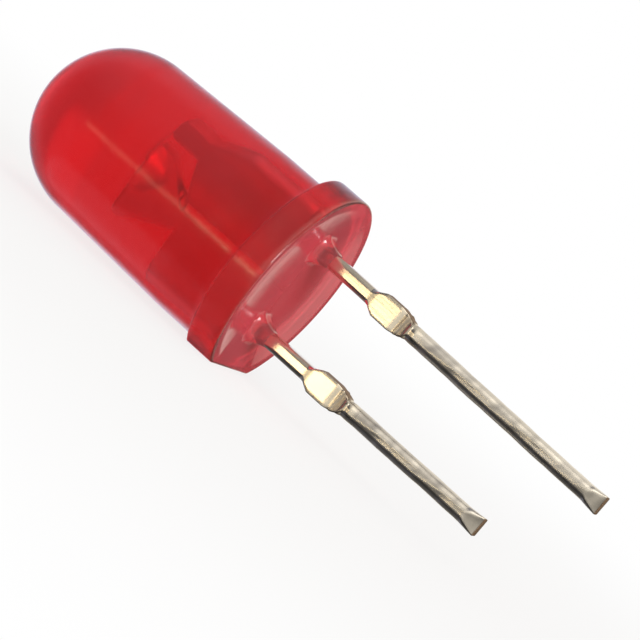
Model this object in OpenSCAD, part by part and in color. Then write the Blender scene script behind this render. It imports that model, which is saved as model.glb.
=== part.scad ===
// Through hole LED: a tinted epoxy lens cast around a stamped two-lead frame.
// The lamp lies on the flat of its flange: the leads run along +X, the dome points along -X,
// and the anode is above the cathode.  The origin is on the optical axis, in the plane where
// the flange sits on a circuit board.

/* [Lens] */
// Diameter of the barrel where it leaves the flange
barrel_d = 5.0; // [4.8:0.05:5.2]
// Height from the board side of the flange to the tip of the dome
lens_h = 8.55; // [8.0:0.05:9.2]
// Straight length of the barrel above the flange, where a panel hole or a clip holds it
land_h = 1.5; // [0.8:0.1:2.5]
// How much the mould draft takes off the radius between the land and the dome
draft = 0.13; // [0.05:0.01:0.2]

/* [Flange] */
// Diameter of the flange
flange_d = 5.8; // [5.6:0.05:6.2]
// Thickness of the flange
flange_t = 0.9; // [0.7:0.05:1.2]
// How far the cathode-side flat stands out past the barrel
flat_proud = 0.02; // [0.02:0.01:0.1]
// Width of the level rim that the dished underside leaves
rim_w = 0.3; // [0.15:0.05:0.5]
// Depth of the dished underside at its middle
dish_depth = 0.15; // [0.05:0.01:0.25]

/* [Epoxy collars] */
// Length of the epoxy that crept down each lead below the flange
creep_l = 0.33; // [0.15:0.01:0.6]
// Diameter of the collar where it leaves the underside
creep_d = 1.1; // [0.9:0.05:1.5]
// Thickness of the collar at its thin end, over the lead's corners
creep_lip = 0.05; // [0.03:0.01:0.1]

/* [Leads] */
// Distance between the two leads
lead_pitch = 2.54; // [2.4:0.02:2.7]
// Width and thickness of a lead
lead_w = 0.46; // [0.4:0.01:0.5]
// Edge radius of a lead
lead_edge_r = 0.12; // [0.05:0.01:0.18]
// Length of the cathode lead below the flange
cathode_l = 7.55; // [5:0.05:27]
// Length of the anode lead below the flange
anode_l = 9.5; // [6:0.05:28]
// Lean of the anode lead towards the cathode lead, in degrees
anode_lean = 0.9; // [0:0.1:1.5]

/* [Tie bar stubs] */
// Distance from the flange to the stub that the cut tie bar left
stub_drop = 1.75; // [1.2:0.05:2.5]
// Length of the stub along the lead
stub_l = 1.22; // [0.9:0.02:1.6]
// Width of the stub across both leads' plane
stub_w = 0.7; // [0.6:0.02:0.9]
// Length of the stub's sloping ends
stub_slope = 0.24; // [0.1:0.02:0.4]

/* [Cut ends] */
// Length of the pinched end that the cutter left
nip_l = 0.45; // [0.2:0.05:0.8]
// Width of the pinched end
nip_w = 0.54; // [0.5:0.01:0.6]
// Thickness of the pinched end
nip_t = 0.3; // [0.2:0.01:0.38]

/* [Lead frame inside the lens] */
// Thickness of the stamped sheet
frame_t = 0.5; // [0.5:0.01:0.6]
// Height of the plates' lower edge above the board side of the flange
plate_z = 0.6; // [0.5:0.05:1.0]
// Distance from the axis to a plate's outer edge
plate_reach = 1.48; // [1.3:0.01:1.6]
// Gap between the two plates
plate_gap = 0.16; // [0.12:0.01:0.3]
// Distance from the axis to the middle of that gap, on the cathode's side
gap_x = 0.1; // [0:0.01:0.15]
// Height of the cathode plate's shoulder
cathode_shoulder_z = 3.1; // [2.6:0.05:3.3]
// Height of the anode plate's inner corner
anode_shoulder_z = 3.35; // [2.8:0.05:3.5]

/* [Anode post] */
// Height of the post's top, where the wire lands
post_z = 4.85; // [4.6:0.05:5.1]
// Width of the post
post_w = 0.44; // [0.4:0.01:0.5]
// Distance from the axis to the middle of the post
post_x = 0.86; // [0.85:0.01:0.95]
// Corner radius of the post's top
post_corner_r = 0.14; // [0.08:0.01:0.16]
// Height over which the plate narrows to the post
post_taper_h = 0.5; // [0.3:0.05:0.7]

/* [Anvil and reflector cup] */
// Height of the cup's rim
cup_z = 4.85; // [4.6:0.05:5.1]
// Mouth diameter of the reflector cup
cup_mouth_d = 0.84; // [0.76:0.02:0.88]
// Floor diameter of the reflector cup
cup_floor_d = 0.52; // [0.48:0.02:0.6]
// Depth of the reflector cup
cup_depth = 0.36; // [0.3:0.01:0.45]
// Wall of the cup at its rim
cup_wall = 0.08; // [0.05:0.01:0.1]
// Height of the cone that swells out of the sheet below the cup
cup_cone_h = 1.3; // [1.0:0.05:1.4]
// Distance from the axis to the anvil's outer top corner
anvil_reach = 0.95; // [0.8:0.01:1.1]
// Width of the anvil's waist, at the cathode plate's shoulder
waist_w = 0.32; // [0.25:0.01:0.5]
// Distance below the cup's rim where the anvil's inner edge reaches its full width
anvil_inner_drop = 0.45; // [0.3:0.05:0.6]

/* [Chip and wire] */
// Side of the square chip
die_w = 0.28; // [0.2:0.01:0.32]
// Thickness of the chip
die_h = 0.2; // [0.15:0.01:0.25]
// Diameter of the silver epoxy under the chip
bond_d = 0.46; // [0.44:0.01:0.48]
// Thickness of the silver epoxy under the chip
bond_h = 0.03; // [0.02:0.01:0.05]
// Diameter of the bond wire
wire_d = 0.03; // [0.025:0.001:0.04]
// Diameter of the ball at the wire's first end
ball_d = 0.09; // [0.07:0.01:0.12]
// Thickness of that ball
ball_h = 0.03; // [0.02:0.01:0.05]
// Bend radius of the wire's loop
loop_r = 0.14; // [0.1:0.01:0.2]
// Straight rise of the wire above the ball
loop_rise = 0.12; // [0.05:0.01:0.2]
// Length of the stitch that ends the wire on the post
stitch_l = 0.1; // [0.08:0.01:0.14]

/* [Hidden] */
$fn = 96;

barrel_r = barrel_d / 2;
flange_r = flange_d / 2;
dome_r = barrel_r - draft;
dome_z = lens_h - dome_r;
land_z = flange_t + land_h;
flat_x = barrel_r + flat_proud;
dish_r = flange_r - rim_w;
// Radius of the sphere that cuts a dish of this width and depth
dish_sphere_r = (dish_r * dish_r + dish_depth * dish_depth) / (2 * dish_depth);
lead_x = lead_pitch / 2;
// Half the diagonal of a lead's rounded section
lead_corner = (lead_w / 2 - lead_edge_r) * sqrt(2) + lead_edge_r;
cathode_in = gap_x + plate_gap / 2;
anode_in = plate_gap / 2 - gap_x;
post_in = post_x - post_w / 2;
post_out = post_x + post_w / 2;
post_foot_z = anode_shoulder_z + post_taper_h;
cup_rim_r = cup_mouth_d / 2 + cup_wall;
anvil_in = cup_rim_r - cup_wall;
die_z = cup_z - cup_depth + bond_h;
wire_r = wire_d / 2;
wire_z = die_z + die_h + ball_h + loop_rise;
// The wire leaves its bend along the tangent that runs to the middle of the post's top
aim_x = post_x - loop_r;
aim_z = post_z - wire_z;
aim_l = sqrt(aim_x * aim_x + aim_z * aim_z);
wire_dive = atan2(aim_z, aim_x) - asin(loop_r / aim_l);
wire_run = sqrt(aim_l * aim_l - loop_r * loop_r);
stitch_w = 2 * wire_d;
stitch_h = wire_r;
// How far cutting shapes and joined ends run past a face
over = 0.1;

// Stands a flat outline up in the plane of the two leads, centred on the sheet
module sheet(thick) {
    rotate([90, 0, 0])
        linear_extrude(thick, center = true)
            children();
}

// Lays the upright lamp on the flat of its flange
module lie_down() {
    rotate([0, -90, 0]) children();
}

module rounded_square(side, r) {
    flat = side / 2 - r;
    square([side, 2 * flat], center = true);
    square([2 * flat, side], center = true);
    for (x = [-flat, flat], y = [-flat, flat])
        translate([x, y]) circle(r);
}

// Barrel and dome in section: straight land, drafted barrel, half-round dome
module lens_section() {
    polygon([
        [0, 0], [barrel_r, 0], [barrel_r, land_z], [dome_r, dome_z], [0, dome_z]
    ]);
    intersection() {
        translate([0, dome_z]) circle(dome_r);
        translate([0, dome_z]) square(dome_r);
    }
}

module flange() {
    linear_extrude(flange_t)
        difference() {
            circle(flange_r);
            translate([-flat_x - flange_d, -flange_r]) square(flange_d);
        }
}

// Shallow hollow that the shrinking epoxy leaves in the underside, inside a level rim
module dish() {
    intersection() {
        translate([0, 0, dish_depth - dish_sphere_r]) sphere(dish_sphere_r);
        translate([rim_w - flat_x, -flange_r, -over]) cube([flange_d, flange_d, dish_depth + 2 * over]);
    }
}

// Collar of epoxy that climbed the lead
module collar() {
    translate([0, 0, -creep_l])
        cylinder(h = creep_l + dish_depth + over, r1 = lead_corner + creep_lip, r2 = creep_d / 2);
}

module lens_outside() {
    difference() {
        union() {
            rotate_extrude() lens_section();
            flange();
        }
        dish();
    }
    for (x = [-lead_x, lead_x])
        translate([x, 0, 0]) collar();
}

// Lead below its plate: rounded square wire, tie bar stub and pinched end.
// The origin is on the plate's lower edge; len is measured from the flange.
module lead(len) {
    end = plate_z + len;
    stub_top = -plate_z - stub_drop;
    stub_end = stub_top - stub_l;
    translate([0, 0, nip_l - end])
        linear_extrude(end - nip_l + over) rounded_square(lead_w, lead_edge_r);
    sheet(frame_t) polygon([
        [-lead_w / 2, stub_top], [lead_w / 2, stub_top],
        [stub_w / 2, stub_top - stub_slope], [stub_w / 2, stub_end + stub_slope],
        [lead_w / 2, stub_end], [-lead_w / 2, stub_end],
        [-stub_w / 2, stub_end + stub_slope], [-stub_w / 2, stub_top - stub_slope]
    ]);
    nip(end);
}

// Pinched end: wider than the lead in the leads' plane and thinner across it
module nip(end) {
    intersection() {
        sheet(lead_w) nip_outline(end, nip_w);
        rotate([0, 0, 90]) sheet(nip_w) nip_outline(end, nip_t);
    }
}

module nip_outline(end, w) {
    polygon([
        [-lead_w / 2, nip_l - end], [lead_w / 2, nip_l - end], [w / 2, -end], [-w / 2, -end]
    ]);
}

// Plate with a slanted, flaring anvil above its shoulder
module cathode_plate() {
    sheet(frame_t) polygon([
        [-plate_reach, plate_z], [-cathode_in, plate_z],
        [-cathode_in, anode_shoulder_z], [anvil_in, cup_z - anvil_inner_drop], [anvil_in, cup_z],
        [-anvil_reach, cup_z], [-cathode_in - waist_w, cathode_shoulder_z],
        [-plate_reach, cathode_shoulder_z]
    ]);
}

// Plate that narrows to the post
module anode_plate() {
    sheet(frame_t) {
        polygon([
            [anode_in, plate_z], [plate_reach, plate_z], [plate_reach, anode_shoulder_z - post_taper_h],
            [post_out, post_foot_z], [post_out, post_z - post_corner_r],
            [post_in, post_z - post_corner_r], [post_in, post_foot_z], [anode_in, anode_shoulder_z]
        ]);
        translate([post_in + post_corner_r, post_z - 2 * post_corner_r])
            square([post_w - 2 * post_corner_r, 2 * post_corner_r]);
        for (x = [post_in + post_corner_r, post_out - post_corner_r])
            translate([x, post_z - post_corner_r]) circle(post_corner_r);
    }
}

module cup_hollow() {
    slope = (cup_mouth_d - cup_floor_d) / 2 / cup_depth;
    translate([0, 0, cup_z - cup_depth])
        cylinder(h = cup_depth + over, r1 = cup_floor_d / 2, r2 = cup_mouth_d / 2 + slope * over);
}

module cathode() {
    difference() {
        union() {
            cathode_plate();
            translate([0, 0, cup_z - cup_cone_h])
                cylinder(h = cup_cone_h, r1 = plate_gap / 2, r2 = cup_rim_r);
            translate([-lead_x, 0, plate_z]) lead(cathode_l);
        }
        cup_hollow();
    }
}

module anode() {
    anode_plate();
    translate([lead_x, 0, plate_z])
        rotate([0, anode_lean, 0]) lead(anode_l);
}

module attach() {
    translate([0, 0, die_z - bond_h]) cylinder(h = bond_h, d = bond_d);
}

module die() {
    translate([-die_w / 2, -die_w / 2, die_z]) cube([die_w, die_w, die_h]);
}

// Gold wire: ball on the chip, rise, bend, straight run down to its stitch on the post
module wire() {
    translate([0, 0, die_z + die_h]) {
        cylinder(h = ball_h, d = ball_d);
        cylinder(h = ball_h + loop_rise, r = wire_r);
    }
    translate([loop_r, 0, wire_z])
        rotate([90, 0, 0])
            rotate([0, 0, 90 + wire_dive])
                rotate_extrude(angle = 90 - wire_dive)
                    translate([loop_r, 0]) circle(wire_r);
    difference() {
        translate([post_x, 0, post_z])
            rotate([0, -90 - wire_dive, 0]) cylinder(h = wire_run, r = wire_r);
        translate([post_x - post_w / 2, -post_w / 2, post_z - post_w]) cube(post_w);
    }
    translate([post_x - stitch_l / 2, -stitch_w / 2, post_z]) cube([stitch_l, stitch_w, stitch_h]);
}

module lens_body() {
    color([0.76, 0.08, 0.1, 0.6])
        lie_down()
            difference() {
                lens_outside();
                cathode();
                anode();
                attach();
                die();
                wire();
            }
}

module cathode_lead() {
    color([0.82, 0.79, 0.7]) lie_down() cathode();
}

module anode_lead() {
    color([0.82, 0.79, 0.7]) lie_down() anode();
}

module led_die() {
    color([0.28, 0.2, 0.2]) lie_down() die();
}

module die_attach() {
    color([0.62, 0.62, 0.62]) lie_down() attach();
}

module bond_wire() {
    color([0.95, 0.75, 0.3]) lie_down() wire();
}

lens_body();
cathode_lead();
anode_lead();
led_die();
die_attach();
bond_wire();
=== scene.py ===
import math

import bpy
import numpy as np
from mathutils import Matrix, Vector


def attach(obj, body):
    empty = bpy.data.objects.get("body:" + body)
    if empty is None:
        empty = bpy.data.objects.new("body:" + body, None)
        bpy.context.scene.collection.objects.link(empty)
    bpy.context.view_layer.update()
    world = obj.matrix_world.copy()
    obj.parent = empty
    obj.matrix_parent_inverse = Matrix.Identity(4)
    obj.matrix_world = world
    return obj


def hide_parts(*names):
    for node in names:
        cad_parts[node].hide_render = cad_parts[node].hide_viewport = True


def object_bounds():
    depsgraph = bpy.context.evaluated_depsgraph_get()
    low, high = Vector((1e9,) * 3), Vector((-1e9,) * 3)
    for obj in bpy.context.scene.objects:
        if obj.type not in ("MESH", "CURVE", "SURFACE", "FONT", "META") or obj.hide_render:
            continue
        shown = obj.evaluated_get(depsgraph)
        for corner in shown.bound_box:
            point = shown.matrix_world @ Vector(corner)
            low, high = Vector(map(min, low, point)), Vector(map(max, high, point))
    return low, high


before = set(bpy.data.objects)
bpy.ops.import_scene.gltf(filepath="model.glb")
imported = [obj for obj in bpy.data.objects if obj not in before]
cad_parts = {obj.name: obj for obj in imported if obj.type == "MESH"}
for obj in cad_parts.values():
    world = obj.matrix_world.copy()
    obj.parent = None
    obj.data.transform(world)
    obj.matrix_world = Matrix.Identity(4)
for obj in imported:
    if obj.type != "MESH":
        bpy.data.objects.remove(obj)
cad_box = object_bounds()

# ---------------------------------------------------------------------------
# The lamp, upright: Z along the optical axis to the dome's tip, X from the cathode to the anode,
# origin on the axis in the plane of the board. All lengths in millimetres.
# ---------------------------------------------------------------------------
MM = 0.001

# Lens
LENS_HEIGHT = 8.55
BARREL_R = 2.5
DOME_R = 2.37
DOME_Z = LENS_HEIGHT - DOME_R
LAND_Z = 2.4
FLANGE_R = 2.9
FLANGE_T = 0.9
FLAT_X = 2.52
ROOT_FILLET = 0.09
TOP_EDGE = 0.05
BOARD_EDGE = 0.06
RIM_W = 0.22
RIM_SOFT = 0.05
DISH_DEPTH = 0.17
FLAT_CORNER_SOFT = 0.012

# Epoxy collars round the leads
COLLAR_DROP = 0.34
COLLAR_REACH = 0.27
COLLAR_CURVE = 1.8

# How cloudy the skin is on the collars and on the flange's rim, where the open underside is 1
COLLAR_CLOUD = 0.35
RIM_CLOUD = 0.05

# Leads
LEAD_X = 1.27
LEAD_HALF = 0.23
NECK_HALF = 0.215
NECK_EDGE = 0.11
CATHODE_LENGTH = 7.55
ANODE_LENGTH = 9.5
ANODE_LEAN = math.radians(0.9)
STUB_TOP = 1.8
STUB_END = 2.97
SHEET_HALF = 0.25
SHEET_EDGE = 0.035
PLATE_Z = 0.6
PLATE_REACH = 1.48
PLATE_CORNER = 0.06
PLATE_BURNISHED = 0.24
CATHODE_IN = 0.18
ANODE_IN = -0.02
CATHODE_SHOULDER_Z = 3.1
ANODE_SHOULDER_Z = 3.35
WAIST_X = 0.5

# Anvil, cup and post
CUP_Z = 4.85
CUP_MOUTH_R = 0.42
CUP_FLOOR_R = 0.26
CUP_DEPTH = 0.36
CUP_WALL = 0.08
CUP_CONE_H = 1.3
CUP_CONE_R = 0.08
ANVIL_REACH = 0.95
ANVIL_INNER_Z = 4.4
ANVIL_LIP = 0.02
POST_Z = 4.85
POST_X = 0.86
POST_HALF = 0.22
POST_CORNER = 0.14
POST_FOOT_Z = 3.85
POST_FLARE_Z = 2.85

# Chip and wire
DIE_HALF = 0.14
DIE_H = 0.2
BOND_R = 0.23
BOND_H = 0.03
WIRE_R = 0.015
BALL_R = 0.045
BALL_H = 0.03
LOOP_R = 0.14
LOOP_RISE = 0.12
STITCH_L = 0.1


def laid_down(points):
    """Row frame, in metres: the lamp's +Z becomes -X and its +X becomes +Z, as it lies on its flat."""
    x, y, z = np.moveaxis(np.asarray(points, float), -1, 0)
    return np.stack([-z, y, x], -1) * MM


def smooth_step(value, start, end):
    """0 before start and 1 after end, with a cubic ease between them."""
    t = np.clip((value - start) / (end - start), 0, 1)
    return t * t * (3 - 2 * t)


def soft_min(a, b, width):
    """The lower of a and b, with their meeting rounded over about width."""
    return 0.5 * (a + b - np.sqrt((a - b) ** 2 + width**2))


def soft_max(a, b, width):
    """The higher of a and b, with their meeting rounded over about width."""
    return -soft_min(-a, -b, width)


# ---------------------------------------------------------------------------
# Meshes
# ---------------------------------------------------------------------------
CREASE = math.radians(35)


def closed_surface(name, rings, first, last, attributes=()):
    """A closed skin over rings of points: rings[i, k] is point k of ring i, each ring closed on itself,
    and both ends drawn together in the poles first and last. Turned so that its faces point outwards."""
    count, around = rings.shape[:2]
    points = np.concatenate([rings.reshape(-1, 3), [first, last]])
    ring, step = np.meshgrid(np.arange(count - 1), np.arange(around), indexing="ij")
    after = (step + 1) % around
    here, below = ring * around, (ring + 1) * around
    quads = np.stack([here + step, below + step, below + after, here + after], -1).reshape(-1, 4)
    k = np.arange(around)
    k_after = (k + 1) % around
    start_pole, end_pole = count * around, count * around + 1
    base = (count - 1) * around
    caps = np.concatenate(
        [
            np.stack([np.full(around, start_pole), k, k_after], -1),
            np.stack([np.full(around, end_pole), base + k_after, base + k], -1),
        ]
    )
    corners = [quads[:, [0, 1, 2]], quads[:, [0, 2, 3]], caps]
    volume = 0
    for a, b, c in (points[triangles].transpose(1, 0, 2) for triangles in corners):
        volume += np.einsum("ij,ij->i", a, np.cross(b, c)).sum()
    if volume < 0:
        quads, caps = quads[:, ::-1], caps[:, ::-1]
    mesh = bpy.data.meshes.new(name)
    mesh.vertices.add(len(points))
    mesh.vertices.foreach_set("co", laid_down(points).astype(np.float32).ravel())
    loops = np.concatenate([quads.ravel(), caps.ravel()])
    mesh.loops.add(len(loops))
    mesh.loops.foreach_set("vertex_index", loops.astype(np.int32))
    starts = np.concatenate([np.arange(len(quads)) * 4, len(quads) * 4 + np.arange(len(caps)) * 3])
    mesh.polygons.add(len(starts))
    mesh.polygons.foreach_set("loop_start", starts.astype(np.int32))
    mesh.update(calc_edges=True)
    mesh.validate()
    for key, values in dict(attributes).items():
        ends = [values[0].mean(), values[-1].mean()]
        data = mesh.attributes.new(key, "FLOAT", "POINT").data
        data.foreach_set("value", np.concatenate([values.ravel(), ends]).astype(np.float32))
    mesh.shade_smooth()
    mesh.set_sharp_from_angle(angle=CREASE)
    made = bpy.data.objects.new(name, mesh)
    bpy.context.scene.collection.objects.link(made)
    return made


def dress(piece, finish, node):
    """Gives a piece its material, hangs it from the root body and hides the CAD part that it stands in for.
    """
    piece.data.materials.append(finish)
    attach(piece, "root")
    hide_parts(node)
    return piece


# ---------------------------------------------------------------------------
# Lens
# ---------------------------------------------------------------------------
AROUND_LENS = 360


def flange_reach(angle):
    """Distance from the axis to the flange's edge at an angle: a circle with one flat cut off it, at -X."""
    towards_flat = np.maximum(-np.cos(angle), 1e-3)
    return soft_min(np.full_like(angle, FLANGE_R), FLAT_X / towards_flat, FLAT_CORNER_SOFT)


def underside(x, y, inset):
    """Height of the underside: level at the rim, dished inside it, and drawn down round each lead.
    The dish falls steeply from the rim and flattens out, with a fourth power, and the collars follow a power
    of the distance to the lead."""
    span = FLANGE_R - RIM_W
    inwards = soft_max(inset - RIM_W, np.zeros_like(inset), RIM_SOFT) / span
    dish = DISH_DEPTH * (1 - (1 - np.clip(inwards, 0, 1)) ** 4)
    height = dish
    for side in (-1, 1):
        off = ((np.abs(x - side * LEAD_X)) ** 4 + np.abs(y) ** 4) ** 0.25 - LEAD_HALF
        near = 1 - np.clip(off, 0, COLLAR_REACH) / COLLAR_REACH
        height = height - (COLLAR_DROP + DISH_DEPTH) * near**COLLAR_CURVE
    return height


def lens_surface():
    """The outside of the casting, ring by ring: a half-round dome, a drafted barrel, a straight land, a
    fillet, the flange with its flat and rounded edges, and the dished underside up to its middle. With it
    goes how open and cloudy each point of the skin is: 0 where it lay against the mould, 1 on the underside,
    less on the collars, and very little on the flange's rim."""
    angle = np.linspace(0, 2 * np.pi, AROUND_LENS, endpoint=False)
    reach = flange_reach(angle)
    step = reach - BARREL_R
    rings = []

    def ring(radius, height):
        radius = np.broadcast_to(radius, angle.shape)
        height = np.broadcast_to(height, angle.shape)
        rings.append(np.stack([radius * np.cos(angle), radius * np.sin(angle), height], -1))

    for lift in np.linspace(90, 0, 46)[1:]:
        ring(DOME_R * math.cos(math.radians(lift)), DOME_Z + DOME_R * math.sin(math.radians(lift)))
    for t in np.linspace(0, 1, 13)[1:]:
        ring(DOME_R + (BARREL_R - DOME_R) * t, DOME_Z + (LAND_Z - DOME_Z) * t)
    for height in np.linspace(LAND_Z, FLANGE_T + ROOT_FILLET, 7)[1:]:
        ring(BARREL_R, height)
    edge = np.minimum(TOP_EDGE, 0.6 * step)
    for t in np.linspace(0, 1, 9)[1:]:
        out = t**1.5 * (step - edge)
        inside = np.clip(ROOT_FILLET - out, 0, ROOT_FILLET)
        ring(BARREL_R + out, FLANGE_T + ROOT_FILLET - np.sqrt(ROOT_FILLET**2 - inside**2))
    top = rings[-1][:, 2]
    rim_start = len(rings)
    for turn in np.linspace(0, 90, 6)[1:]:
        a = math.radians(turn)
        ring(reach - edge + edge * math.sin(a), top - edge * (1 - math.cos(a)))
    side_top = rings[-1][:, 2]
    for t in np.linspace(0, 1, 7)[1:]:
        ring(reach, side_top + (BOARD_EDGE - side_top) * t)
    for turn in np.linspace(0, 90, 6)[1:]:
        a = math.radians(turn)
        ring(reach - BOARD_EDGE * (1 - math.cos(a)), BOARD_EDGE * (1 - math.sin(a)))
    rim_end = len(rings)
    inner = reach - BOARD_EDGE
    level = rings[-1][:, 2]
    for share in np.linspace(1, 0, 125)[1:-1]:
        radius = inner * share
        height = underside(radius * np.cos(angle), radius * np.sin(angle), inner - radius)
        ring(radius, height + level)
    middle = float(rings[-1][:, 2].mean())
    rings = np.array(rings)
    off = np.hypot(np.abs(rings[..., 0]) - LEAD_X, rings[..., 1])
    away = smooth_step(off, LEAD_HALF + 0.1, LEAD_HALF + COLLAR_REACH)
    open_face = COLLAR_CLOUD + (1 - COLLAR_CLOUD) * away
    open_face[:rim_start] = 0
    open_face[rim_start:rim_end] = RIM_CLOUD
    return rings, (0, 0, LENS_HEIGHT), (0, 0, middle), open_face


# ---------------------------------------------------------------------------
# Leads
# ---------------------------------------------------------------------------
CORNER_STEPS = 6
FLAT_STEPS = 8


def ring_pattern():
    """A rounded rectangle's points as corner signs and outward directions, so that every ring is
    centre + sign * (half side - radius) + direction * radius."""
    signs, outward = [], []
    corners = [(1, 1), (-1, 1), (-1, -1), (1, -1)]
    for quarter, (sx, sy) in enumerate(corners):
        for t in np.linspace(0, 1, CORNER_STEPS + 1):
            turn = math.radians(90 * (quarter + t))
            signs.append((sx, sy))
            outward.append((math.cos(turn), math.sin(turn)))
        nx, ny = corners[(quarter + 1) % 4]
        turn = math.radians(90 * (quarter + 1))
        for t in np.linspace(0, 1, FLAT_STEPS + 1)[1:-1]:
            signs.append((sx + (nx - sx) * t, sy + (ny - sy) * t))
            outward.append((math.cos(turn), math.sin(turn)))
    return np.array(signs), np.array(outward)


SIGNS, OUTWARD = ring_pattern()


def bar_rings(rows, burnished=None):
    """Rings of a bar whose section is a rounded rectangle in X and Y. Each row is height, lower X, upper X,
    half thickness, corner radius, and the numbers between two rows follow straight lines. burnished gives the
    corner radius at the lower and the upper X where they differ from the row's."""
    z, x0, x1, half_y, radius = np.array(rows, float).T
    half_x = (x1 - x0) / 2
    radius = np.minimum(radius, np.minimum(half_x, half_y) * 0.98)[:, None]
    if burnished is not None:
        lower, upper = np.array(burnished, float).T[..., None]
        radius = lower + (upper - lower) * (SIGNS[None, :, 0] + 1) / 2
    half = np.stack([half_x, half_y], -1)[:, None, :] - radius[..., None]
    flat = SIGNS[None] * half + OUTWARD[None] * radius[..., None]
    flat[..., 0] += ((x0 + x1) / 2)[:, None]
    return np.concatenate([flat, np.broadcast_to(z[:, None, None], flat.shape[:2] + (1,))], -1)


def fill_rows(rows, spacing):
    """Rows added on straight lines between the given ones, so that none are further apart than spacing."""
    out = [rows[0]]
    for before, after in zip(rows[:-1], rows[1:]):
        pieces = max(1, math.ceil(abs(before[0] - after[0]) / spacing))
        for t in np.linspace(0, 1, pieces + 1)[1:]:
            out.append(tuple(b + (a - b) * t for b, a in zip(before, after)))
    return out


def rounded_end(z, x0, x1, half, radius, corner, down):
    """Rows that round a bar's two outline corners at a step or an end. down is 1 where the bar runs down
    from z, and -1 where it comes down to z."""
    rows = []
    for turn in np.linspace(0, 90, 6):
        a = math.radians(turn)
        inset = radius * (1 - math.sin(a))
        rows.append((z - down * radius * (1 - math.cos(a)), x0 + inset, x1 - inset, half, corner))
    return rows if down > 0 else rows[::-1]


def straight(height, line):
    """The value at a height on a line of (height, value) corners."""
    heights, values = zip(*sorted(line))
    return float(np.interp(height, heights, values))


def wire_rows(length):
    """The lead below its plate, centred on X = 0: neck, stub of the cut tie bar, tin-dipped wire and
    pinched end."""
    down = [
        # drop below the board plane, half width, half thickness, corner radius
        (-PLATE_Z, LEAD_HALF, LEAD_HALF, 0.1),
        (0.15, NECK_HALF, 0.235, NECK_EDGE),
        (1.66, NECK_HALF, 0.24, NECK_EDGE),
        (1.76, 0.222, 0.248, 0.05),
        (STUB_TOP, 0.245, 0.25, 0.02),
        (1.99, 0.35, 0.25, 0.018),
        (2.52, 0.352, 0.25, 0.018),
        (2.76, 0.315, 0.238, 0.03),
        (2.93, 0.262, 0.235, 0.05),
        (STUB_END, 0.245, 0.24, 0.1),
        (3.02, 0.238, 0.235, 0.17),
        (3.16, 0.245, 0.247, 0.2),
        (3.34, 0.24, 0.238, 0.19),
        (length - 1.6, 0.235, 0.232, 0.18),
        (length - 0.5, 0.236, 0.23, 0.17),
        (length - 0.4, 0.24, 0.215, 0.12),
        (length - 0.04, 0.268, 0.15, 0.035),
        (length - 0.008, 0.262, 0.143, 0.03),
        (length, 0.25, 0.132, 0.025),
    ]
    return [(-drop, -half_x, half_x, half_y, radius) for drop, half_x, half_y, radius in down]


def worked_over(rings, seed):
    """The small unevenness of a real lead: slow waves of tin below the stub, a ragged shear at the stub's
    lower end. Each is a sum of sines in height and position round the ring, with random phases."""
    random = np.random.default_rng(seed)
    z = rings[..., 2]
    round_ring = np.arange(rings.shape[1]) / rings.shape[1] * 2 * np.pi
    dipped = smooth_step(-z, STUB_END + 0.03, STUB_END + 0.53)
    wave = np.zeros_like(z)
    # Length and height of each wave, in millimetres
    for length, size in ((2.3, 0.004), (1.1, 0.0025), (0.55, 0.0012), (0.31, 0.0006)):
        turns = random.integers(1, 4)
        wave += size * np.sin(2 * np.pi * z / length + turns * round_ring + random.uniform(0, 6.28))
    sheared = smooth_step(-z, 2.5, 2.8) * (1 - smooth_step(-z, STUB_END - 0.01, STUB_END + 0.08))
    ragged = np.zeros_like(z)
    for length, size in ((0.21, 0.006), (0.12, 0.004)):
        ragged += size * np.sin(2 * np.pi * z / length + random.uniform(0, 6.28))
        ragged += size * 0.6 * np.sin(3 * round_ring + 2 * np.pi * z / length + random.uniform(0, 6.28))
    amount = wave * dipped + ragged * sheared
    out = rings.copy()
    out[..., :2] += OUTWARD[None] * amount[..., None]
    return out


def lead_wire(length, centre_x, lean, seed):
    """Rings of one lead from its plate to its cut end, leaning towards -X by lean radians."""
    rings = worked_over(bar_rings(fill_rows(wire_rows(length), 0.05)), seed)
    rings[..., 0] += centre_x - (PLATE_Z - rings[..., 2]) * math.tan(lean)
    return rings


def stub_marks(rings):
    """How much of each point is bare, sheared metal: the stub's sides and lower end, and the cut end."""
    drop = -rings[..., 2]
    below_top = smooth_step(drop, STUB_TOP + 0.05, STUB_TOP + 0.18)
    at_stub = below_top * (1 - smooth_step(drop, STUB_END - 0.02, STUB_END + 0.05))
    side = smooth_step(np.abs(OUTWARD[None, :, 0]), 0.5, 0.9) * np.ones_like(drop)
    torn = 0.45 * smooth_step(drop, 2.6, 2.85) * (1 - smooth_step(drop, STUB_END - 0.01, STUB_END + 0.08))
    end = smooth_step(drop, drop.max() - 0.03, drop.max() - 0.005)
    return np.clip(np.maximum.reduce([at_stub * side, torn, end]), 0, 1)


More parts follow.
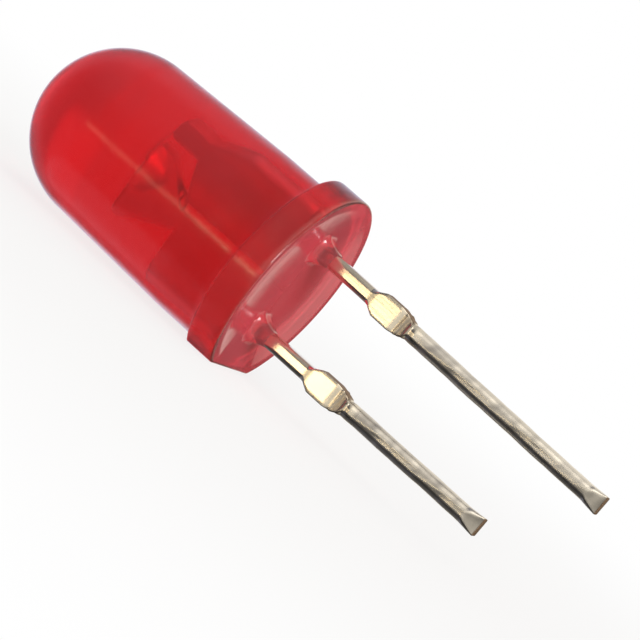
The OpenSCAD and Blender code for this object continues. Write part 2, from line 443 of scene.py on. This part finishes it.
def cathode_surface():
    """Cup floor, cup wall and lip, then the anvil with the cone that swells out of it, the plate and the
    lead. The cone and the sheet are joined by taking the greater of their two distances from the sheet's
    middle line. With them goes how bare each point of the metal is."""
    outer = [(CUP_Z, -ANVIL_REACH), (4.3, -0.8), (CATHODE_SHOULDER_Z, -WAIST_X)]
    inner = [(CUP_Z, CUP_MOUTH_R), (ANVIL_INNER_Z, CUP_MOUTH_R), (ANODE_SHOULDER_Z, -CATHODE_IN)]
    anvil = []
    for z in np.linspace(CUP_Z, CATHODE_SHOULDER_Z, 48):
        lip = ANVIL_LIP * (1 - smooth_step(CUP_Z - z, 0, 0.03))
        anvil.append((z, straight(z, outer) + lip, straight(z, inner) - lip, SHEET_HALF - lip, SHEET_EDGE))
    section = (-PLATE_REACH, -CATHODE_IN, SHEET_HALF, PLATE_CORNER, SHEET_EDGE)
    plate = rounded_end(CATHODE_SHOULDER_Z, *section, 1) + rounded_end(PLATE_Z, *section, -1)
    plate = fill_rows(plate, 0.25)
    sheet = bar_rings(fill_rows(anvil, 0.04))
    middle = (sheet[..., 0].min(1) + sheet[..., 0].max(1))[:, None] / 2
    z = sheet[..., 2]
    cone = CUP_CONE_R + (CUP_MOUTH_R + CUP_WALL - CUP_CONE_R) * (z - CUP_Z + CUP_CONE_H) / CUP_CONE_H
    cone = np.maximum(cone, 0) - ANVIL_LIP * (1 - smooth_step(CUP_Z - z, 0, 0.03))
    dx, dy = sheet[..., 0] - middle, sheet[..., 1]
    away = np.hypot(dx, dy)
    ux, uy = dx / away, dy / away
    along = -middle * ux
    room = cone**2 - (middle * uy) ** 2
    to_cone = np.where(room > 0, along + np.sqrt(np.maximum(room, 0)), 0)
    joined = np.where(to_cone > 0, soft_max(away, to_cone, 0.03), away)
    sheet[..., 0], sheet[..., 1] = middle + ux * joined, uy * joined
    turn = np.arctan2(sheet[0, :, 1], sheet[0, :, 0])
    floor_z = CUP_Z - CUP_DEPTH
    bowl = [(CUP_FLOOR_R * t, floor_z) for t in (0.35, 0.7, 0.9)]
    bevel = 0.02
    bowl += [(CUP_FLOOR_R * 0.97 + bevel * t, floor_z + bevel * t) for t in (0.3, 1)]
    slope = (CUP_MOUTH_R - CUP_FLOOR_R) / CUP_DEPTH
    bowl += [(CUP_FLOOR_R + slope * h, floor_z + h) for h in np.linspace(0.05, CUP_DEPTH - 0.012, 9)]
    bowl += [(CUP_MOUTH_R + 0.008, CUP_Z - 0.002), (CUP_MOUTH_R + 0.02, CUP_Z)]
    radius, height = np.array(bowl).T
    cup = np.stack(
        [radius[:, None] * np.cos(turn), radius[:, None] * np.sin(turn), height[:, None] + 0 * turn], -1
    )
    wire = lead_wire(CATHODE_LENGTH, -LEAD_X, 0, 5)
    burnished = [(PLATE_BURNISHED, SHEET_EDGE)] * len(plate)
    rings = np.concatenate([cup, sheet, bar_rings(plate, burnished), wire])
    marks = np.zeros(rings.shape[:2])
    marks[-len(wire) :] = stub_marks(wire)
    return rings, (0, 0, floor_z), (*wire[-1, :, :2].mean(0), -CATHODE_LENGTH), marks


def anode_surface():
    """Post with a rounded top, plate and lead."""
    outer = [(POST_FOOT_Z, POST_X + POST_HALF), (POST_FLARE_Z, PLATE_REACH)]
    inner = [(POST_FOOT_Z, POST_X - POST_HALF), (ANODE_SHOULDER_Z, ANODE_IN)]
    rows = rounded_end(POST_Z, POST_X - POST_HALF, POST_X + POST_HALF, SHEET_HALF, POST_CORNER, SHEET_EDGE, 1)
    rows = [r for r in rows if r[2] - r[1] > 0.1]
    for z in np.linspace(POST_FOOT_Z, POST_FLARE_Z, 24):
        rows.append((z, straight(z, inner), straight(z, outer), SHEET_HALF, SHEET_EDGE))
    rows += rounded_end(PLATE_Z, ANODE_IN, PLATE_REACH, SHEET_HALF, PLATE_CORNER, SHEET_EDGE, -1)
    rows = fill_rows(rows, 0.25)
    rounding = [(POST_FLARE_Z, PLATE_BURNISHED), (POST_FOOT_Z, SHEET_EDGE)]
    burnished = [(SHEET_EDGE, straight(row[0], rounding)) for row in rows]
    wire = lead_wire(ANODE_LENGTH, LEAD_X, ANODE_LEAN, 8)
    rings = np.concatenate([bar_rings(rows, burnished), wire])
    marks = np.zeros(rings.shape[:2])
    marks[-len(wire) :] = stub_marks(wire)
    return rings, (POST_X, 0, POST_Z), (*wire[-1, :, :2].mean(0), -ANODE_LENGTH), marks


# ---------------------------------------------------------------------------
# Chip, its silver epoxy and the bond wire
# ---------------------------------------------------------------------------
DIE_Z = CUP_Z - CUP_DEPTH + BOND_H
AROUND_PUDDLE = 64
AROUND_WIRE = 16


def turned_surface(profile):
    """Rings of a turned shape, from a list of radius and height, about the optical axis."""
    radius, height = np.array(profile).T
    angle = np.linspace(0, 2 * np.pi, AROUND_PUDDLE, endpoint=False)
    x, y = radius[:, None] * np.cos(angle), radius[:, None] * np.sin(angle)
    return np.stack([x, y, height[:, None] + 0 * angle], -1)


def attach_rings():
    """A thin puddle that climbs a little round the chip and thins out to its edge, wider than the chip."""
    base = CUP_Z - CUP_DEPTH
    profile = [(0.12, DIE_Z), (0.16, DIE_Z), (0.19, DIE_Z - 0.004), (0.215, DIE_Z - 0.012)]
    profile += [(BOND_R, base + 0.006), (BOND_R, base), (0.1, base)]
    return turned_surface(profile)


def chip_rings():
    """A sawn square chip: sides that lean in a little to the top, with narrow bevels."""
    rows = [
        (DIE_Z + DIE_H, 0.118),
        (DIE_Z + DIE_H - 0.006, 0.124),
        (DIE_Z + 0.06, 0.136),
        (DIE_Z + 0.05, DIE_HALF),
        (DIE_Z, DIE_HALF),
    ]
    return bar_rings([(z, -half, half, half, 0.008) for z, half in rows])


def wire_path():
    """Middle line of the bond wire in X and Z: up from the ball, round one bend, and straight down to the
    post."""
    start_z = DIE_Z + DIE_H
    bend_z = start_z + BALL_H + LOOP_RISE
    aim_x, aim_z = POST_X - LOOP_R, POST_Z + WIRE_R * 0.5 - bend_z
    aim = math.hypot(aim_x, aim_z)
    dive = math.atan2(aim_z, aim_x) - math.asin(LOOP_R / aim)
    run = math.sqrt(aim**2 - LOOP_R**2)
    up = [(0.0, z) for z in np.linspace(start_z + BALL_H, bend_z, 10)]
    turns = np.linspace(math.pi, math.pi / 2 + dive, 14)[1:]
    bend = [(LOOP_R + LOOP_R * math.cos(a), bend_z + LOOP_R * math.sin(a)) for a in turns]
    x, z = bend[-1]
    fall = [(x + run * t * math.cos(dive), z + run * t * math.sin(dive)) for t in np.linspace(0, 1, 24)[1:]]
    x, z = fall[-1]
    stitch = [(x + STITCH_L * t, z) for t in np.linspace(0, 1, 6)[1:]]
    return np.array(up + bend + fall + stitch)


def wire_rings():
    """A ball, then a round wire carried along its path, pressed flat and wide where it is stitched to the
    post."""
    path = wire_path()
    way = np.gradient(path, axis=0)
    way /= np.linalg.norm(way, axis=1)[:, None]
    gone = np.concatenate([[0], np.cumsum(np.linalg.norm(np.diff(path, axis=0), axis=1))])
    pressed = smooth_step(gone, gone[-1] - STITCH_L * 1.6, gone[-1] - STITCH_L * 0.7)
    wide = WIRE_R * (1 + pressed)
    high = WIRE_R * (1 - 0.55 * pressed)
    angle = np.linspace(0, 2 * np.pi, AROUND_WIRE, endpoint=False)
    across = np.stack([-way[:, 1], way[:, 0]], -1)
    x = path[:, :1] + across[:, :1] * high[:, None] * np.cos(angle)
    z = path[:, 1:] + across[:, 1:] * high[:, None] * np.cos(angle)
    y = wide[:, None] * np.sin(angle)
    tube = np.stack([x, y, z], -1)
    base = DIE_Z + DIE_H
    # The ball's upper pole is cut off where the wire leaves it, at this angle above its middle
    wire_leaves = math.radians(62)
    lifts = np.linspace(math.radians(-60), wire_leaves, 9)[:, None]
    radius = BALL_R * np.cos(lifts)
    height = base + BALL_H / 2 * (1 + np.sin(lifts) / math.sin(wire_leaves))
    bulb = np.stack([-radius * np.cos(angle), radius * np.sin(angle), height + 0 * angle], -1)
    first = (0, 0, base)
    last = (path[-1, 0], 0, path[-1, 1])
    return np.concatenate([bulb, tube[1:]]), first, last


# ---------------------------------------------------------------------------
# Materials
# ---------------------------------------------------------------------------
def linear(hex_colour):
    """An sRGB hex colour as the linear red, green, blue and alpha that shaders take."""
    part = np.array([int(hex_colour[i : i + 2], 16) for i in (0, 2, 4)]) / 255
    part = np.where(part <= 0.04045, part / 12.92, ((part + 0.055) / 1.055) ** 2.4)
    return (*part.tolist(), 1.0)


def add_node(tree, kind, settings=(), values=(), links=()):
    """Adds one shader node, with its own settings, its sockets' values, and the outputs that feed its
    sockets."""
    made = tree.nodes.new(kind)
    for key, value in dict(settings).items():
        setattr(made, key, value)
    for key, value in dict(values).items():
        made.inputs[key].default_value = value
    for key, source in dict(links).items():
        tree.links.new(source, made.inputs[key])
    return made


def combine(tree, operation, *parts):
    """Joins two or more outputs into one, from the first to the last, with one arithmetic operation."""
    total = parts[0]
    for part in parts[1:]:
        total = add_node(
            tree, "ShaderNodeMath", settings={"operation": operation}, links={0: total, 1: part}
        ).outputs["Value"]
    return total


def new_tree(owner):
    """An empty node tree for a material or the world."""
    owner.use_nodes = True
    owner.node_tree.nodes.clear()
    return owner.node_tree


# How strongly the dye takes its colour out of the light, per metre
DYE_DENSITY = 1150.0


def tinted_epoxy():
    """Cast clear epoxy with a red dye. A thin, sharply glossy, faintly wavy skin lies over a slightly hazy
    body that drinks green and blue. The open underside, which no mould touched, is duller and cloudier."""
    made = bpy.data.materials.new("tinted_epoxy")
    tree = new_tree(made)
    place = add_node(tree, "ShaderNodeTexCoord").outputs["Object"]
    open_face = add_node(tree, "ShaderNodeAttribute", settings={"attribute_name": "open_face"}).outputs["Fac"]
    rough = add_node(
        tree, "ShaderNodeMapRange", values={"To Min": 0.17, "To Max": 0.22}, links={"Value": open_face}
    ).outputs["Result"]
    clear = add_node(
        tree, "ShaderNodeMapRange", values={"To Min": 0.96, "To Max": 0.5}, links={"Value": open_face}
    ).outputs["Result"]
    tint = add_node(
        tree,
        "ShaderNodeMix",
        settings={"data_type": "RGBA"},
        values={"A": linear("F6A4AC"), "B": linear("E65464")},
        links={"Factor": open_face},
    ).outputs["Result"]
    # The cast skin's waves are about 0.6 mm apart and a few microns high
    waves = add_node(
        tree,
        "ShaderNodeTexNoise",
        values={"Scale": 1700.0, "Detail": 1.0},
        links={"Vector": place},
    )
    skin = add_node(
        tree,
        "ShaderNodeBump",
        values={"Strength": 0.6, "Distance": 0.00002},
        links={"Height": waves.outputs["Fac"]},
    )
    shader = add_node(
        tree,
        "ShaderNodeBsdfPrincipled",
        values={"IOR": 1.54, "Coat Weight": 0.3, "Coat Roughness": 0.05, "Coat IOR": 1.4},
        links={
            "Base Color": tint,
            "Roughness": rough,
            "Transmission Weight": clear,
            "Normal": skin.outputs["Normal"],
        },
    )
    dye = add_node(
        tree, "ShaderNodeVolumeAbsorption", values={"Color": linear("FA597B"), "Density": DYE_DENSITY}
    )
    add_node(
        tree,
        "ShaderNodeOutputMaterial",
        links={"Surface": shader.outputs["BSDF"], "Volume": dye.outputs["Volume"]},
    )
    return made


def plated_lead():
    """Stamped steel, silver plated, its cut legs dipped in tin: bright and slightly warm near the lens,
    greyer and duller below the stub, brown and dark where the tie bar and the ends were sheared."""
    made = bpy.data.materials.new("tinned_steel")
    tree = new_tree(made)
    place = add_node(tree, "ShaderNodeTexCoord").outputs["Object"]
    along = add_node(tree, "ShaderNodeSeparateXYZ", links={"Vector": place}).outputs["X"]
    dipped = add_node(
        tree,
        "ShaderNodeMapRange",
        settings={"interpolation_type": "SMOOTHSTEP"},
        values={"From Min": 2.9 * MM, "From Max": 3.5 * MM},
        links={"Value": along},
    ).outputs["Result"]
    stretch = add_node(tree, "ShaderNodeMapping", values={"Scale": (0.25, 1.0, 1.0)}, links={"Vector": place})
    # Blotches of the tin coat, about 0.3 mm across and drawn out along the lead
    blotch = add_node(
        tree,
        "ShaderNodeTexNoise",
        values={"Scale": 3300.0, "Detail": 4.0, "Roughness": 0.6},
        links={"Vector": stretch.outputs["Vector"]},
    ).outputs["Fac"]
    silver = add_node(
        tree,
        "ShaderNodeMix",
        settings={"data_type": "RGBA"},
        values={"A": linear("F6F1E4"), "B": linear("E6DFCE")},
        links={"Factor": blotch},
    ).outputs["Result"]
    tin = add_node(
        tree,
        "ShaderNodeMix",
        settings={"data_type": "RGBA"},
        values={"A": linear("F0EEE8"), "B": linear("D2CEC4")},
        links={"Factor": blotch},
    ).outputs["Result"]
    coat = add_node(
        tree, "ShaderNodeMix", settings={"data_type": "RGBA"}, links={"Factor": dipped, "A": silver, "B": tin}
    ).outputs["Result"]
    sheared = add_node(tree, "ShaderNodeAttribute", settings={"attribute_name": "sheared"}).outputs["Fac"]
    colour = add_node(
        tree,
        "ShaderNodeMix",
        settings={"data_type": "RGBA"},
        values={"B": linear("84694F")},
        links={"Factor": sheared, "A": coat},
    ).outputs["Result"]
    # Matt plating inside the casting, burnished by handling outside it
    matt = add_node(
        tree,
        "ShaderNodeMapRange",
        values={"From Min": -0.6 * MM, "From Max": 0.1 * MM, "To Min": 0.3, "To Max": 0.16},
        links={"Value": along},
    ).outputs["Result"]
    rough = add_node(
        tree,
        "ShaderNodeMapRange",
        values={"To Max": 0.28},
        links={"Value": dipped, "To Min": matt},
    ).outputs["Result"]
    rough = add_node(
        tree,
        "ShaderNodeMapRange",
        values={"To Max": 0.5},
        links={"Value": sheared, "To Min": rough},
    ).outputs["Result"]
    # Drawing lines 0.02 mm apart, the finest that still show
    lines = add_node(
        tree,
        "ShaderNodeTexNoise",
        values={"Scale": 9000.0, "Detail": 3.0},
        links={
            "Vector": add_node(
                tree, "ShaderNodeMapping", values={"Scale": (0.08, 1.0, 1.0)}, links={"Vector": place}
            ).outputs["Vector"]
        },
    ).outputs["Fac"]
    relief = add_node(
        tree, "ShaderNodeBump", values={"Strength": 0.1, "Distance": 0.00001}, links={"Height": lines}
    ).outputs["Normal"]
    shader = add_node(
        tree,
        "ShaderNodeBsdfPrincipled",
        values={"Metallic": 1.0},
        links={"Base Color": colour, "Roughness": rough, "Normal": relief},
    )
    add_node(tree, "ShaderNodeOutputMaterial", links={"Surface": shader.outputs["BSDF"]})
    return made


def grainy(name, low, high, metallic, roughness, scale):
    """A fine-grained surface: two close colours mottled together, with a roughness that follows the grain."""
    made = bpy.data.materials.new(name)
    tree = new_tree(made)
    place = add_node(tree, "ShaderNodeTexCoord").outputs["Object"]
    grain = add_node(
        tree, "ShaderNodeTexNoise", values={"Scale": scale, "Detail": 3.0}, links={"Vector": place}
    ).outputs["Fac"]
    colour = add_node(
        tree,
        "ShaderNodeMix",
        settings={"data_type": "RGBA"},
        values={"A": linear(low), "B": linear(high)},
        links={"Factor": grain},
    ).outputs["Result"]
    rough = add_node(
        tree,
        "ShaderNodeMapRange",
        values={"To Min": roughness * 0.8, "To Max": roughness * 1.2},
        links={"Value": grain},
    ).outputs["Result"]
    shader = add_node(
        tree,
        "ShaderNodeBsdfPrincipled",
        values={"Metallic": metallic},
        links={"Base Color": colour, "Roughness": rough},
    )
    add_node(tree, "ShaderNodeOutputMaterial", links={"Surface": shader.outputs["BSDF"]})
    return made


# ---------------------------------------------------------------------------
# Studio
# ---------------------------------------------------------------------------
AZIMUTH, ELEVATION, ROLL = 17.5, 5.4, 39.95
CAMERA_DISTANCE = 80 * MM
FOCAL_LENGTH = 179.1
SHIFT_RIGHT, SHIFT_UP = 0.0422, -0.0427


def towards(azimuth, elevation):
    """The direction from the lamp to a point at that azimuth and elevation, in degrees."""
    a, e = math.radians(azimuth), math.radians(elevation)
    return Vector((math.sin(a) * math.cos(e), -math.cos(a) * math.cos(e), math.sin(e)))


def make_camera():
    """A long lens that looks at the middle of the flange's underside, rolled so that the leads point down
    and to the right."""
    lens = bpy.data.cameras.new("camera")
    lens.lens = FOCAL_LENGTH
    lens.sensor_width = 36
    lens.clip_start, lens.clip_end = 0.005, 5
    lens.shift_x, lens.shift_y = SHIFT_RIGHT, SHIFT_UP
    made = bpy.data.objects.new("camera", lens)
    bpy.context.scene.collection.objects.link(made)
    back = towards(AZIMUTH, ELEVATION)
    turn = (-back).to_track_quat("-Z", "Y").to_matrix() @ Matrix.Rotation(math.radians(ROLL), 3, "Z")
    made.matrix_world = Matrix.Translation(back * CAMERA_DISTANCE) @ turn.to_4x4()
    bpy.context.scene.camera = made


def soft_light(name, azimuth, elevation, distance, width, height, power, colour="FFFFFF"):
    """A soft box that faces the lamp, with its width level."""
    data = bpy.data.lights.new(name, "AREA")
    data.shape = "RECTANGLE"
    data.size, data.size_y = width, height
    data.energy = power
    data.color = linear(colour)[:3]
    made = bpy.data.objects.new(name, data)
    bpy.context.scene.collection.objects.link(made)
    at = towards(azimuth, elevation)
    turn = (-at).to_track_quat("-Z", "Y").to_matrix()
    made.matrix_world = Matrix.Translation(at * distance) @ turn.to_4x4()


def make_world():
    """A pale room round the lamp, whose level depends on the direction looked in. The camera sees plain white
    all round. What is seen through the epoxy, and what it and the metal mirror from behind the lamp, is a
    little short of that white. In front of the lamp gloss sees a dim room, so that metal has its dark sides.
    Every ramp eases its level from low to high between two values of one axis of the direction."""
    world = bpy.data.worlds.new("studio")
    bpy.context.scene.world = world
    tree = new_tree(world)
    path = add_node(tree, "ShaderNodeLightPath").outputs
    to_camera, mirrored_ray = path["Is Camera Ray"], path["Is Glossy Ray"]
    through = path["Is Transmission Ray"]
    facing = add_node(tree, "ShaderNodeTexCoord").outputs["Generated"]
    axes = add_node(tree, "ShaderNodeSeparateXYZ", links={"Vector": facing})

    def ramp(axis, start, end, low, high):
        return add_node(
            tree,
            "ShaderNodeMapRange",
            settings={"interpolation_type": "SMOOTHSTEP"},
            values={"From Min": start, "From Max": end, "To Min": low, "To Max": high},
            links={"Value": axes.outputs[axis]},
        ).outputs["Result"]

    # Room: paler straight overhead and straight below, for the barrel most of all, and paler behind
    poles = combine(tree, "ADD", ramp("Z", 0.2, 0.9, 0.0, 0.17), ramp("Z", -0.78, -0.84, 0.0, 0.22))
    poles = combine(tree, "MULTIPLY", poles, ramp("X", -0.33, -0.38, 0.3, 1.0))
    behind = combine(tree, "ADD", ramp("Y", 0.0, 0.4, 0.0, 0.12), ramp("Y", 0.6, 0.95, 0.0, 0.2))
    behind = combine(tree, "MULTIPLY", behind, ramp("X", 0.2, 0.0, 0.0, 1.0))
    room = combine(tree, "ADD", poles, ramp("X", -0.5, -0.35, 0.16, 0.05), behind)
    # A bright screen square to the leads, which their upper sides mirror
    screen = combine(
        tree,
        "MULTIPLY",
        ramp("X", -0.285, -0.24, 0.0, 1.0),
        ramp("X", 0.3, 0.1, 0.0, 1.0),
        ramp("Z", -0.46, 0.08, 0.0, 1.0),
    )
    room = combine(tree, "MAXIMUM", room, screen)
    # A dark place below the leads, and the dim corner that the camera stands in
    below = combine(tree, "MULTIPLY", ramp("Z", -0.4, -0.7, 0.0, 0.07), ramp("X", -0.3, -0.27, 0.0, 1.0))
    room = combine(tree, "SUBTRACT", room, combine(tree, "MAXIMUM", below, ramp("X", 0.15, 0.3, 0.0, 0.05)))
    # The wall that the leads point at is paler again, and palest on its far side
    far_wall = combine(tree, "MULTIPLY", ramp("X", 0.34, 0.5, 0.0, 1.0), ramp("Y", 0.2, 0.5, 0.0, 0.5))
    room = combine(tree, "ADD", room, ramp("X", 0.42, 0.6, 0.0, 0.4), far_wall)

    # Through the epoxy: a white backdrop, dimmer in its middle and high up on the leads' side
    middle = combine(
        tree,
        "MULTIPLY",
        ramp("Z", -0.8, -0.35, 0.0, 1.0),
        ramp("Z", 0.8, 0.35, 0.0, 1.0),
        ramp("X", -0.45, 0.05, 0.0, 0.22),
        ramp("X", 0.6, 0.15, 0.0, 1.0),
    )
    ceiling = combine(tree, "MULTIPLY", ramp("Z", 0.5, 0.8, 0.0, 0.45), ramp("X", -0.1, 0.1, 0.0, 1.0))
    backdrop = combine(tree, "SUBTRACT", ramp("X", -0.41, -0.33, 0.85, 0.92), middle, ceiling)
    backdrop = combine(tree, "MULTIPLY", backdrop, ramp("Y", 0.0, 0.3, 0.0, 1.0))
    # In front it is greyer, and whiter overhead, on the table and at the leads' end
    front = combine(
        tree,
        "ADD",
        ramp("Z", -0.3, 0.3, 0.57, 0.64),
        ramp("Z", 0.5, 0.75, 0.0, 0.34),
        ramp("Z", -0.45, -0.7, 0.0, 0.35),
        ramp("X", 0.5, 0.65, 0.0, 0.9),
    )
    clear = combine(tree, "MULTIPLY", combine(tree, "MAXIMUM", backdrop, front), through)

    # The same backdrop mirrored at a low angle by the flange's rim, the barrel and the lens' edges
    mirrored = combine(
        tree,
        "MULTIPLY",
        combine(tree, "SUBTRACT", mirrored_ray, through),
        ramp("Y", 0.58, 0.88, 0.0, 1.0),
        ramp("X", 0.28, 0.17, 0.0, 0.3),
        ramp("X", -0.05, -0.2, 1.0, 3.3),
        ramp("Z", 0.05, 0.4, 1.0, 0.6),
    )
    level = combine(tree, "MAXIMUM", room, clear, combine(tree, "MAXIMUM", to_camera, mirrored))

    # The dim part of the room is bluish and the bright part warm, and what lies behind is plain white
    tint = add_node(
        tree,
        "ShaderNodeMix",
        settings={"data_type": "RGBA"},
        values={"A": linear("EDECFF"), "B": linear("FFF6E8")},
        links={"Factor": ramp("X", -0.295, -0.27, 0.0, 1.0)},
    ).outputs["Result"]
    tint = add_node(
        tree,
        "ShaderNodeMix",
        settings={"data_type": "RGBA"},
        values={"B": linear("FFFFFF")},
        links={"Factor": combine(tree, "MAXIMUM", to_camera, through), "A": tint},
    ).outputs["Result"]
    light = add_node(tree, "ShaderNodeBackground", links={"Color": tint, "Strength": level})
    add_node(tree, "ShaderNodeOutputWorld", links={"Surface": light.outputs["Background"]})


def make_floor():
    """A wide pale sheet under the flange's flat. The camera sees it mostly plain white, with the lamp's soft
    shadow on it. Gloss and epoxy see the world's table in its place, and it casts no shadow itself."""
    half, level = 0.4, cad_box[0].z
    mesh = bpy.data.meshes.new("floor")
    corners = [(-half, -half, level), (half, -half, level), (half, half, level), (-half, half, level)]
    mesh.from_pydata(corners, [], [(0, 1, 2, 3)])
    floor = bpy.data.objects.new("floor", mesh)
    bpy.context.scene.collection.objects.link(floor)
    made = bpy.data.materials.new("pale_paper")
    tree = new_tree(made)
    to_camera = add_node(tree, "ShaderNodeLightPath").outputs["Is Camera Ray"]
    paper = add_node(tree, "ShaderNodeBsdfDiffuse", values={"Color": linear("FFFFFF")})
    white = add_node(tree, "ShaderNodeEmission", values={"Color": linear("FFFFFF"), "Strength": 1.0})
    # The shadow's share fades out away from the lamp, so that the sheet has no far edge
    place = add_node(tree, "ShaderNodeTexCoord").outputs["Object"]
    away = add_node(tree, "ShaderNodeVectorMath", settings={"operation": "LENGTH"}, links={0: place})
    plain = add_node(
        tree,
        "ShaderNodeMapRange",
        settings={"interpolation_type": "SMOOTHSTEP"},
        values={"From Min": 5 * MM, "From Max": 40 * MM, "To Min": 0.8, "To Max": 1.0},
        links={"Value": away.outputs["Value"]},
    ).outputs["Result"]
    share = combine(tree, "MULTIPLY", to_camera, plain)
    seen = add_node(
        tree,
        "ShaderNodeMixShader",
        links={"Fac": share, 1: paper.outputs["BSDF"], 2: white.outputs["Emission"]},
    )
    add_node(tree, "ShaderNodeOutputMaterial", links={"Surface": seen.outputs["Shader"]})
    mesh.materials.append(made)
    floor.visible_glossy = False
    floor.visible_transmission = False
    floor.visible_shadow = False


# ---------------------------------------------------------------------------
# Everything together
# ---------------------------------------------------------------------------
rings, tip, middle, open_face = lens_surface()
lens = closed_surface("lens", rings, tip, middle, {"open_face": open_face})
dress(lens, tinted_epoxy(), "lens_body")

plated = plated_lead()
rings, first, last, marks = cathode_surface()
cathode = closed_surface("cathode", rings, first, last, {"sheared": marks})
dress(cathode, plated, "cathode_lead")
rings, first, last, marks = anode_surface()
anode = closed_surface("anode", rings, first, last, {"sheared": marks})
dress(anode, plated, "anode_lead")

puddle = closed_surface("silver_puddle", attach_rings(), (0, 0, DIE_Z), (0, 0, CUP_Z - CUP_DEPTH))
dress(puddle, grainy("silver_epoxy", "8C8C8A", "B4B4B2", 0.8, 0.45, 20000.0), "die_attach")
chip = closed_surface("chip", chip_rings(), (0, 0, DIE_Z + DIE_H), (0, 0, DIE_Z))
dress(chip, grainy("sawn_chip", "3A2624", "573A33", 0.3, 0.35, 30000.0), "led_die")
rings, first, last = wire_rings()
bond = closed_surface("gold_wire", rings, first, last)
dress(bond, grainy("drawn_gold", "E8BE62", "F2CE7C", 1.0, 0.22, 20000.0), "bond_wire")

make_camera()
make_world()
make_floor()
# Each light: azimuth and elevation in degrees, distance, width and height in metres, watts
soft_light("key", 3, 48, 0.25, 0.08, 0.2, 0.06, "FFF4E6")
soft_light("side", 70, 15, 0.25, 0.08, 0.08, 0.35)
soft_light("lamp", -16.4, -6.3, 0.6, 0.041, 0.036, 0.03, "FFE2B0")
soft_light("curtain", -22.6, -6.3, 0.6, 0.084, 0.056, 0.02, "FFE8BE")
bpy.context.scene.view_settings.view_transform = "Standard"
